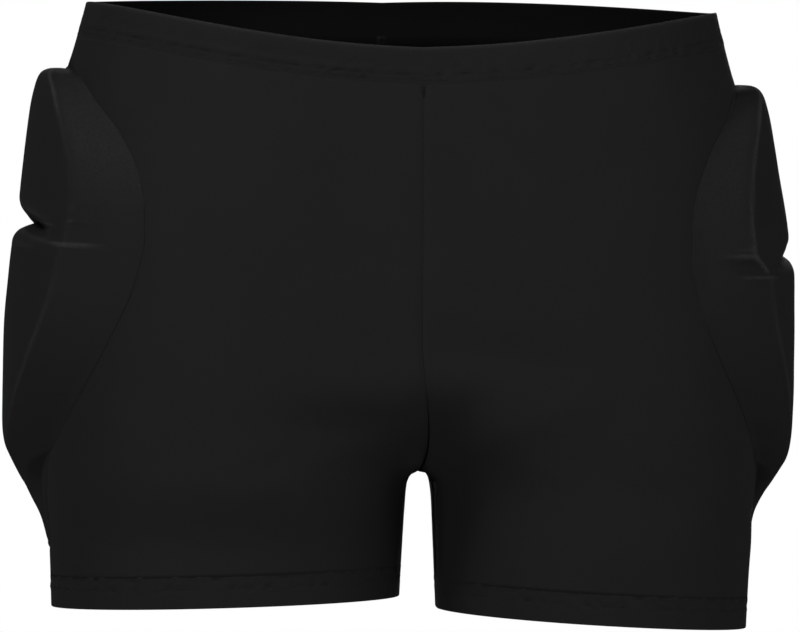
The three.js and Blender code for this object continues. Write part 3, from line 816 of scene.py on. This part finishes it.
def build_panel(side, face, looks):
    """One knitted panel, with rolled seam edges, soft folds and a valley along the pocket."""
    points = panel_points(side, face, looks.mesh_step)
    normals = lattice_normals(points, half_middle(side))
    uv = lattice_uv(points)
    from_side, from_middle = uv[..., 0], uv[:, -1:, 0] - uv[..., 0]
    shift = seam_roll(from_side, *SIDE_SEAM) + seam_roll(from_middle, *MIDDLE_SEAM)
    shift += front_folds(points, side, face)
    shift += seam_roll(pocket_distance(side, points), *BESIDE_POCKET) * (from_side > 0.5)
    along = points[..., 2]
    pull = bell(from_middle, MIDDLE_PULL_REACH) * between(MIDDLE_PULL_Z, along)
    shift += pull * ripples(from_middle, along, MIDDLE_RIPPLES, side + 2 * face)
    shift += ripples(points[..., 0], along, PANEL_RIPPLES)
    edge = np.minimum(1, np.minimum(from_side, from_middle) / EDGE_REACH)
    normals[:, 0, 1] = 0
    moved = points + normals * (shift * np.maximum(edge, EDGE_KEEPS))[..., None]
    moved[:, 0, 1] -= face * SEAM_LAP
    moved[:, -1, :2] -= np.array([side, face]) * SEAM_LAP
    name = f"{FACE_WORDS[face]}_panel_{SIDE_WORDS[side]}"
    bm = lattice_bmesh(moved, uv)
    face_outwards(bm, half_middle(side) * MM)
    obj = mesh_object(f"{name}_cloth", bm, shared_material("panel_cloth"), name)
    thicken(obj, looks.cloth_wall * MM)


def loop_points(segments, spacing, nominal):
    """Round a waist or leg: side, face and t of columns at equal spacings, as lists of runs."""
    runs = []
    for side, face, start, end in segments:
        columns = equal_columns(side, face, start, end, nominal, spacing)
        runs.append((side, face, columns[:-1]))
    return runs


def loop_lattice(runs, heights):
    """Skin points at nominal heights round a closed loop, and their outward normals."""
    rows = []
    for height in heights:
        row = [skin_point(side, face, t, height) for side, face, t in runs]
        rows.append(np.concatenate(row))
    points = np.stack(rows)
    closed = np.concatenate([points[:, -1:], points, points[:, :1]], axis=1)
    across = (closed[:, 2:] - closed[:, :-2]) / 2
    top, bottom = points[np.argmax(heights)], points[np.argmin(heights)]
    down = np.broadcast_to(bottom - top, across.shape)
    normals = np.cross(across, down)
    normals /= np.linalg.norm(normals, axis=-1, keepdims=True)
    outwards = points - points.mean(axis=(0, 1))
    flip = np.sign((normals * outwards).sum(-1).mean())
    return points, normals * flip


def band_profile(out, inwards, lap, free, joined, steps):
    """Section of a folded band from its edge under the panel round the fold to its inner edge."""
    way = np.sign(free - joined)
    under = (out, joined - way * 0.8)
    radius = (out + inwards) / 2
    middle = (out - inwards) / 2
    down = [(out, mix(joined, free, k / steps)) for k in range(steps)]
    down = [p for p in down if (free - p[1]) * way > radius * 1.05]
    turn = [
        (middle + radius * math.cos(a), free - way * radius * (1 - math.sin(a)))
        for a in np.linspace(0, math.pi, 9)
    ]
    back = [(-inwards, z) for _, z in reversed(down)]
    return [under, *down, *turn, *back, (-inwards, joined - way * lap), (-0.7, joined - way * (lap + 0.6))]


def paint_inside_shade(obj):
    """Gives the faces that look into the hollow the darker inside cloth, which paints the shade in there.
    """
    obj.data.materials.append(shared_material("shaded_inner_cloth"))
    middle = sum((v.co for v in obj.data.vertices), Vector()) / len(obj.data.vertices)
    for face in obj.data.polygons:
        outwards = face.center - middle
        if face.normal.x * outwards.x + face.normal.y * outwards.y < 0:
            face.material_index = 1


def build_band(name, segments, free, joined, out, inwards, lap, tuck, puckers, looks, painted_highlight=0.0):
    """A folded band from its free edge to the panel, with puckers at its stitches."""
    runs = loop_points(segments, looks.mesh_step * BAND_STEP, joined)
    profile = band_profile(out, inwards, lap, free, joined, BAND_STEPS)
    points, normals = loop_lattice(runs, [z for _, z in profile])
    offsets = np.array([o for o, _ in profile])[:, None] * np.ones(points.shape[1])
    length = np.linalg.norm(np.diff(points, axis=1, append=points[:, :1]), axis=-1)
    around = np.cumsum(length, axis=1)
    z = np.array([p[1] for p in profile])[:, None]
    outside = (np.arange(len(profile)) < len(profile) / 2)[:, None]
    for height, amount, reach in puckers:
        near = bell(z - height, reach) * outside
        wobble = waves(around, z * 0 + height, 21, 5.5) + 0.6 * waves(around, z * 2, 22, 11)
        offsets = offsets + near * amount * (wobble - 0.2)
    offsets[0] = offsets[1] - tuck
    moved = points + normals * offsets[..., None]
    seam = np.concatenate([moved, moved[:, :1]], axis=1)
    uv = lattice_uv(seam)
    bm = lattice_bmesh(seam, uv)
    # Painted highlight along the band's fold, as strong as asked.
    write_painted_highlight(bm, painted_highlight * bell(z - free, FOLD_HIGHLIGHT_REACH) * np.ones(seam.shape[1]))
    bmesh.ops.remove_doubles(bm, verts=bm.verts, dist=1e-6)
    bmesh.ops.bridge_loops(bm, edges=[edge for edge in bm.edges if edge.is_boundary])
    bmesh.ops.recalc_face_normals(bm, faces=bm.faces)
    obj = mesh_object(f"{name}_cloth", bm, shared_material("band_cloth"), name)
    paint_inside_shade(obj)


WAIST_SEGMENTS = ((LEFT, FRONT, 2, 0), (LEFT, BACK, 0, 2), (RIGHT, BACK, 2, 0), (RIGHT, FRONT, 0, 2))


def leg_segments(side):
    return ((side, FRONT, 2, 0), (side, BACK, 0, 2))


def build_waistband(looks):
    build_band(
        "waistband", WAIST_SEGMENTS, free=0, joined=-BAND_HEIGHT, out=0.1, inwards=1.25, lap=7, tuck=0.4,
        puckers=((-15, 1, 2.2), (-9.5, 0.5, 3.5)), looks=looks, painted_highlight=1.0,
    )


def build_hem(side, looks):
    build_band(
        f"leg_hem_{SIDE_WORDS[side]}", leg_segments(side), free=HEM_Z, joined=HEM_Z + HEM_HEIGHT,
        out=0.02, inwards=1.25, lap=0.5, tuck=0.14,
        puckers=((HEM_Z + 10.5, 0.7, 1.4), (HEM_Z + 15, 0.55, 1.5)), looks=looks,
    )


def pocket_points(side, step):
    """Depths and heights of the pocket's lattice, closer together at its top, notch, end and seam."""
    heights = POCKET_HEIGHTS[side]
    top, tip = pocket_ends(side)
    fine = np.linspace(top, tip, 3000)
    amount, reach = POCKET_CROWD["top"]
    density = 1 + amount * np.exp((fine - top) / reach)
    for place in ("notch", "end"):
        amount, reach = POCKET_CROWD[place]
        density += amount * bell(fine - heights[place], reach)
    z = crowded(fine, density, step)
    across = np.linspace(-1, 1, round(POCKET_GIRTH / step) | 1)
    across = np.sign(across) * (1 - (1 - np.abs(across)) ** 1.25)
    y = across[None, :] * pocket_column(side, "seam", z)[:, None]
    return y, np.broadcast_to(z[:, None], y.shape)


def relax_cloth(obj, pinned, looks):
    """Lets the pocket's cloth settle over the pads under light pressure, by the settle limit at most."""
    before = np.array([v.co for v in obj.data.vertices])
    group = obj.vertex_groups.new(name="seam")
    group.add([int(i) for i in pinned], 1.0, "REPLACE")
    cloth = obj.modifiers.new("settle", "CLOTH")
    settings = cloth.settings
    settings.quality = 5
    settings.mass = 0.1
    settings.tension_stiffness = 12
    settings.compression_stiffness = 4
    settings.bending_stiffness = 0.3
    settings.use_pressure = True
    settings.uniform_pressure_force = 1.5
    settings.shrink_min = 0.0
    settings.vertex_group_mass = "seam"
    settings.effector_weights.gravity = 0
    cloth.point_cache.frame_start = 1
    cloth.point_cache.frame_end = looks.settle_frames
    scene = bpy.context.scene
    for number in range(1, looks.settle_frames + 1):
        scene.frame_set(number)
    settled = obj.evaluated_get(bpy.context.evaluated_depsgraph_get())
    after = np.array([v.co for v in settled.data.vertices])
    obj.modifiers.remove(cloth)
    scene.frame_set(1)
    moved = after - before
    length = np.linalg.norm(moved, axis=1, keepdims=True)
    limit = looks.settle_limit * MM
    moved *= np.minimum(1, limit / np.maximum(length, 1e-9))
    obj.data.vertices.foreach_set("co", (before + moved).ravel())
    obj.data.update()


def painted_highlight_mask(side, surface, normals, y, z):
    """The painted highlight on the pocket, from 0 to 1: along the pads' sharp convex edges and on the upper
    flanks.
    """
    bend = np.zeros(z.shape)
    for axis in (0, 1):
        before = np.roll(surface, 1, axis)
        after = np.roll(surface, -1, axis)
        reach = np.linalg.norm(after - before, axis=-1) / 2
        curve = ((before + after - 2 * surface) * normals).sum(-1)
        bend += np.maximum(-curve / np.maximum(reach, 0.2) ** 2, 0)
    bend[[0, -1]] = 0
    bend[:, [0, -1]] = 0
    ridge = pocket_column(side, "ridge", z)
    heights = POCKET_HEIGHTS[side]
    # Painted highlight on the upper flanks above the notch, and along sharp convex edges above the pad's
    # lower end.
    upper = between((heights["notch"], heights["notch"] + 40), z) * ease((np.abs(y) - ridge) / 5)
    edges = ease((bend - 0.05) / 0.2) * between((heights["end"], heights["end"] + 30), z)
    return np.clip(edges + UPPER_FLANK_HIGHLIGHT[side] * upper, 0, 1)


def build_pocket(side, looks):
    """A stretch pocket over two pads, sewn down all round."""
    y, z = pocket_points(side, looks.mesh_step * 0.8)
    surface = pocket_surface(side, y, z)
    uv = lattice_uv(surface)
    uv[..., 0] -= uv[:, [uv.shape[1] // 2], 0]
    normals = hip_normal(side, y, z)
    seam = pocket_column(side, "seam", z)
    top, tip = pocket_ends(side)
    inside = np.minimum((seam - np.abs(y)) * 1.1, np.minimum(top - z, z - tip) + 1)
    shift = seam_roll(inside, *POCKET_SEAM)
    crease = bell(z - POCKET_HEIGHTS[side]["notch"], 13) * ease(inside / 25)
    shift += crease * ripples(y, z, NOTCH_RIPPLES, side)
    shift += ease(inside / 12) * ripples(y, z, POCKET_RIPPLES, side)
    shift += bell(inside, 5) * ripples(y, z, RIM_RIPPLES)
    surface = surface + normals * shift[..., None]
    # Painted highlight along the pads' edges and on the upper flanks.
    painted_highlight = painted_highlight_mask(side, surface, normals, y, z)
    bm = lattice_bmesh(surface, uv)
    write_painted_highlight(bm, painted_highlight)
    face_outwards(bm, half_middle(side) * MM)
    rim = [v.index for v in bm.verts if v.is_boundary]
    name = f"pad_pocket_{SIDE_WORDS[side]}"
    obj = mesh_object(f"{name}_cloth", bm, shared_material("pocket_cloth"), name)
    if looks.settle_frames:
        relax_cloth(obj, rim, looks)
    thicken(obj, POCKET_WALL * MM)


def build_foam(side, part):
    """A foam pad that fills the pocket above or below its notch."""
    above, below, first, last = FOAM_ENDS[part]
    heights = POCKET_HEIGHTS[side]
    start, finish = (mix(heights[above], heights[below], at) for at in (first, last))
    rows = np.linspace(start, finish, FOAM_ROWS)
    across = np.linspace(-FOAM_SHARE, FOAM_SHARE, FOAM_COLUMNS)
    z = np.broadcast_to(rows[:, None], (FOAM_ROWS, FOAM_COLUMNS))
    y = across[None, :] * pocket_column(side, "seam", rows)[:, None]
    outwards = hip_normal(side, y, z)
    top = pocket_surface(side, y, z, less=FOAM_UNDER_CLOTH)
    seat = hip_point(side, y, z) + outwards * FOAM_OFF_HIP
    too_thin = ((top - seat) * outwards).sum(-1) < FOAM_LEAST
    top = np.where(too_thin[..., None], seat + outwards * FOAM_LEAST, top)
    bm = lattice_bmesh(seat, lattice_uv(seat))
    order = bm.verts.layers.int.new("order")
    for i, vert in enumerate(bm.verts):
        vert[order] = i
    made = bmesh.ops.extrude_face_region(bm, geom=bm.faces[:], use_keep_orig=True)
    places = tilted(top).reshape(-1, 3) * MM
    for item in made["geom"]:
        if isinstance(item, bmesh.types.BMVert):
            item.co = places[item[order]]
    bmesh.ops.recalc_face_normals(bm, faces=bm.faces)
    name = f"{part}_pad_{SIDE_WORDS[side]}"
    obj = mesh_object(f"{name}_foam", bm, shared_material("soft_foam"), name)


# Stitching


def thread_along(name, points, normals, pitch, looks):
    """A row of stitches: a thread along a line on the cloth that dives in between the stitches."""
    step = np.linalg.norm(np.diff(points, axis=0), axis=1)
    length = np.concatenate([[0], np.cumsum(step)])
    count = max(2, round(length[-1] / pitch))
    at = np.linspace(0, length[-1], count * POINTS_PER_STITCH + 1)
    line = np.stack([np.interp(at, length, points[:, k]) for k in range(3)], -1)
    up = np.stack([np.interp(at, length, normals[:, k]) for k in range(3)], -1)
    up /= np.linalg.norm(up, axis=1, keepdims=True)
    along = np.gradient(line, axis=0)
    along /= np.maximum(np.linalg.norm(along, axis=1, keepdims=True), 1e-9)
    across = np.cross(along, up)
    phase = np.arange(len(at)) / POINTS_PER_STITCH
    arch = np.sin(phase * math.pi) ** 2 * (0.6 + 0.4 * waves(phase, phase * 0, 51, 3.1))
    radius = looks.thread / 2
    height = radius * (1.8 * arch - 1.5)
    size = radius * (0.5 + 0.5 * arch)
    sway = 0.12 * np.sin(phase * 2.1)
    turn = np.linspace(0, math.tau, THREAD_SIDES + 1)
    ring = (
        np.cos(turn)[None, :, None] * across[:, None] * 1.15 + np.sin(turn)[None, :, None] * up[:, None]
    ) * size[:, None, None]
    centre = line + up * height[:, None] + across * sway[:, None]
    lattice = centre[:, None] + ring
    bm = lattice_bmesh(lattice, lattice_uv(lattice))
    bmesh.ops.remove_doubles(bm, verts=bm.verts, dist=1e-7)
    bmesh.ops.holes_fill(bm, edges=[e for e in bm.edges if e.is_boundary], sides=0)
    bmesh.ops.recalc_face_normals(bm, faces=bm.faces)
    mesh_object(name, bm, shared_material("sewing_thread"), None)


def band_row(segments, nominal, out):
    """A closed line round a band, a distance off the skin."""
    runs = loop_points(segments, 2.0, nominal)
    points, normals = loop_lattice(runs, [nominal + 1, nominal, nominal - 1])
    line = points[1] + normals[1] * out
    return np.concatenate([line, line[:1]]), np.concatenate([normals[1], normals[1][:1]])


def pocket_row(side, inside):
    """A line round the pocket, a distance inside its seam."""
    heights = POCKET_HEIGHTS[side]
    z = np.linspace(heights["top"] - max(inside, 0), heights["tip"] + 2, 260)
    seam = np.maximum(pocket_column(side, "seam", z) - inside, 0.5)
    y = np.concatenate([-seam[::-1], seam])
    z = np.concatenate([z[::-1], z])
    lift = np.maximum(pocket_lift(side, y, z), 0) if inside > 0 else np.zeros(len(z))
    normals = hip_normal(side, y, z)
    return hip_point(side, y, z) + normals * (lift - 0.05)[:, None], normals


def build_stitching(looks):
    """Two rows of stitches on the waistband, on each hem and round each pocket."""
    for k, height in enumerate(WAIST_STITCH_Z):
        line, up = band_row(WAIST_SEGMENTS, height, 0.12)
        thread_along(f"waist_stitch_{k}", line, up, WAIST_STITCH, looks)
    for side in (RIGHT, LEFT):
        word = SIDE_WORDS[side]
        for k, height in enumerate(HEM_STITCH_Z):
            line, up = band_row(leg_segments(side), height, 0.02)
            thread_along(f"hem_stitch_{word}_{k}", line, up, HEM_STITCH, looks)
        for k, inside in enumerate(POCKET_STITCH_INSIDE):
            line, up = pocket_row(side, inside)
            thread_along(f"pocket_stitch_{word}_{k}", line, up, POCKET_STITCH, looks)


# The stage

CAMERA_AZIMUTH = math.radians(-6.3)
CAMERA_ELEVATION = math.radians(2.0)
CAMERA_ROLL = math.radians(0.6)
CAMERA_DISTANCE = 2.5
CAMERA_TARGET = Vector((0, 0, -0.158))
CAMERA_SENSOR = 36
CAMERA_LENS = 216
CAMERA_SEES_TO = 50

# Name, place in metres, size and power in watts of each light.
LIGHTS = (
    ("top_left", (-0.85, -0.75, 0.95), (0.4, 0.4), 9),
    ("low_left", (-1.4, -1.6, -0.9), (0.8, 0.8), 17.5),
    ("high_right", (0.9, -1.3, 1.35), (0.6, 0.6), 9.5),
    ("low_right", (1.5, -1.4, -0.8), (0.8, 0.8), 6.5),
    ("front", (-0.2, -2.6, -0.2), (1.2, 1.2), 6.5),
    ("behind", (0.4, 2.6, 0.3), (1.5, 1.5), 20),
    ("side_right", (1.9, -0.7, -0.2), (0.8, 0.8), 5.5),
)


def add_camera():
    data = bpy.data.cameras.new("camera")
    data.sensor_width = CAMERA_SENSOR
    data.lens = CAMERA_LENS
    data.clip_end = CAMERA_SEES_TO
    camera = bpy.data.objects.new("camera", data)
    bpy.context.scene.collection.objects.link(camera)
    level = math.cos(CAMERA_ELEVATION)
    offset = Vector((
        math.sin(CAMERA_AZIMUTH) * level,
        -math.cos(CAMERA_AZIMUTH) * level,
        math.sin(CAMERA_ELEVATION),
    ))
    turn = (-offset).to_track_quat("-Z", "Y").to_matrix().to_4x4()
    roll = Matrix.Rotation(CAMERA_ROLL, 4, "Z")
    camera.matrix_world = Matrix.Translation(CAMERA_TARGET + offset * CAMERA_DISTANCE) @ turn @ roll
    bpy.context.scene.camera = camera


def add_light(name, place, size, power):
    data = bpy.data.lights.new(name, "AREA")
    data.shape = "RECTANGLE"
    data.size, data.size_y = size
    data.energy = power
    light = bpy.data.objects.new(name, data)
    light.location = place
    light.rotation_euler = (CAMERA_TARGET - Vector(place)).to_track_quat("-Z", "Y").to_euler()
    bpy.context.scene.collection.objects.link(light)


def white_surround(strength):
    """A white background that lights the shorts much less than it shows."""
    world = bpy.data.worlds.new("surround")
    world.use_nodes = True
    tree = world.node_tree
    background = tree.nodes["Background"]
    path = tree.nodes.new("ShaderNodeLightPath")
    level = math_node(tree, "MULTIPLY_ADD", path.outputs["Is Camera Ray"], 1.0 - strength, strength)
    background.inputs["Color"].default_value = (1, 1, 1, 1)
    tree.links.new(level, background.inputs["Strength"])
    bpy.context.scene.world = world


# Settings, operators and panel


def number(name, about, default, least, most, **more):
    """A setting that is a number, with its default and its range."""
    return FloatProperty(name=name, description=about, default=default, min=least, max=most, **more)


def colour(name, about, default):
    return FloatVectorProperty(
        name=name, description=about, size=3, subtype="COLOR", default=default, min=0, max=1
    )


class ShortsSettings(bpy.types.PropertyGroup):
    cloth_wall: number("Cloth wall (mm)", "Thickness of the stretch knit", 1.1, 0.4, 3)
    mesh_step: number("Mesh step (mm)", "Spacing of the cloth's mesh", 2.0, 1.2, 8)
    rib: number("Rib (mm)", "Spacing of the knit's ribs", 0.5, 0.3, 3)
    thread: number("Thread (mm)", "Thickness of the sewing thread", 0.4, 0.2, 1.5)
    settle_frames: IntProperty(
        name="Settle frames", description="Frames for which the pocket cloth settles",
        default=20, min=0, max=60,
    )
    settle_limit: number("Settle limit (mm)", "Furthest that settling moves the cloth", 1.2, 0, 5)
    sheen: number("Sheen", "Soft sheen of the knit", 0.02, 0, 1, subtype="FACTOR")
    # Strength of the painted highlight on the pockets and along the waistband's fold.
    painted_highlight: number("Tight", "How much paler the cloth is where it is tight over an edge", 1.5, 0, 5)
    # How dark the inside cloth is: painted shade inside the shorts.
    inside: number(
        "Inside", "How light the cloth's inside is against its outside", 0.55, 0, 1, subtype="FACTOR"
    )
    surround: number("Surround", "How strongly the white surround lights the shorts", 0.022, 0, 2)
    cloth_colour: colour("Cloth", "Colour of the knit", (0.0105, 0.0105, 0.0105))
    thread_colour: colour("Thread colour", "Colour of the sewing thread", (0.0105, 0.0105, 0.0105))
    foam_colour: colour("Foam", "Colour of the foam pads", (0.024, 0.024, 0.025))


class SHORTS_OT_panels(bpy.types.Operator):
    """Builds the four knitted panels"""

    bl_idname = "shorts.panels"
    bl_label = "Build panels"

    def execute(self, context):
        looks = context.scene.padded_shorts
        for side in (RIGHT, LEFT):
            for face in (FRONT, BACK):
                build_panel(side, face, looks)
        return {"FINISHED"}


class SHORTS_OT_bands(bpy.types.Operator):
    """Builds the waistband and the leg hems"""

    bl_idname = "shorts.bands"
    bl_label = "Build waistband and hems"

    def execute(self, context):
        looks = context.scene.padded_shorts
        build_waistband(looks)
        for side in (RIGHT, LEFT):
            build_hem(side, looks)
        return {"FINISHED"}


class SHORTS_OT_pads(bpy.types.Operator):
    """Builds the foam pads and the pockets over them"""

    bl_idname = "shorts.pads"
    bl_label = "Build pads and pockets"

    def execute(self, context):
        looks = context.scene.padded_shorts
        for side in (RIGHT, LEFT):
            for part in FOAM_ENDS:
                build_foam(side, part)
            build_pocket(side, looks)
        return {"FINISHED"}


class SHORTS_OT_stitching(bpy.types.Operator):
    """Sews the rows of stitches"""

    bl_idname = "shorts.stitching"
    bl_label = "Sew stitches"

    def execute(self, context):
        build_stitching(context.scene.padded_shorts)
        return {"FINISHED"}


class SHORTS_OT_stage(bpy.types.Operator):
    """Adds the camera, the lights and the white surround"""

    bl_idname = "shorts.stage"
    bl_label = "Set the stage"

    def execute(self, context):
        looks = context.scene.padded_shorts
        add_camera()
        for light in LIGHTS:
            add_light(*light)
        white_surround(looks.surround)
        context.scene.view_settings.view_transform = "Standard"
        return {"FINISHED"}


class SHORTS_PT_sidebar(bpy.types.Panel):
    bl_label = "Padded hip shorts"
    bl_idname = "SHORTS_PT_sidebar"
    bl_space_type = "VIEW_3D"
    bl_region_type = "UI"
    bl_category = "Shorts"

    def draw(self, context):
        looks = context.scene.padded_shorts
        for name in ShortsSettings.__annotations__:
            self.layout.prop(looks, name)
        for step in STEPS:
            self.layout.operator(step.bl_idname)


STEPS = (SHORTS_OT_panels, SHORTS_OT_bands, SHORTS_OT_pads, SHORTS_OT_stitching, SHORTS_OT_stage)
CLASSES = (ShortsSettings, *STEPS, SHORTS_PT_sidebar)


def register():
    for made in CLASSES:
        bpy.utils.register_class(made)
    bpy.types.Scene.padded_shorts = PointerProperty(type=ShortsSettings)


def unregister():
    del bpy.types.Scene.padded_shorts
    for made in reversed(CLASSES):
        bpy.utils.unregister_class(made)


def main():
    register()
    bpy.ops.shorts.panels()
    bpy.ops.shorts.bands()
    bpy.ops.shorts.pads()
    bpy.ops.shorts.stitching()
    bpy.ops.shorts.stage()


if __name__ == "__main__":
    main()
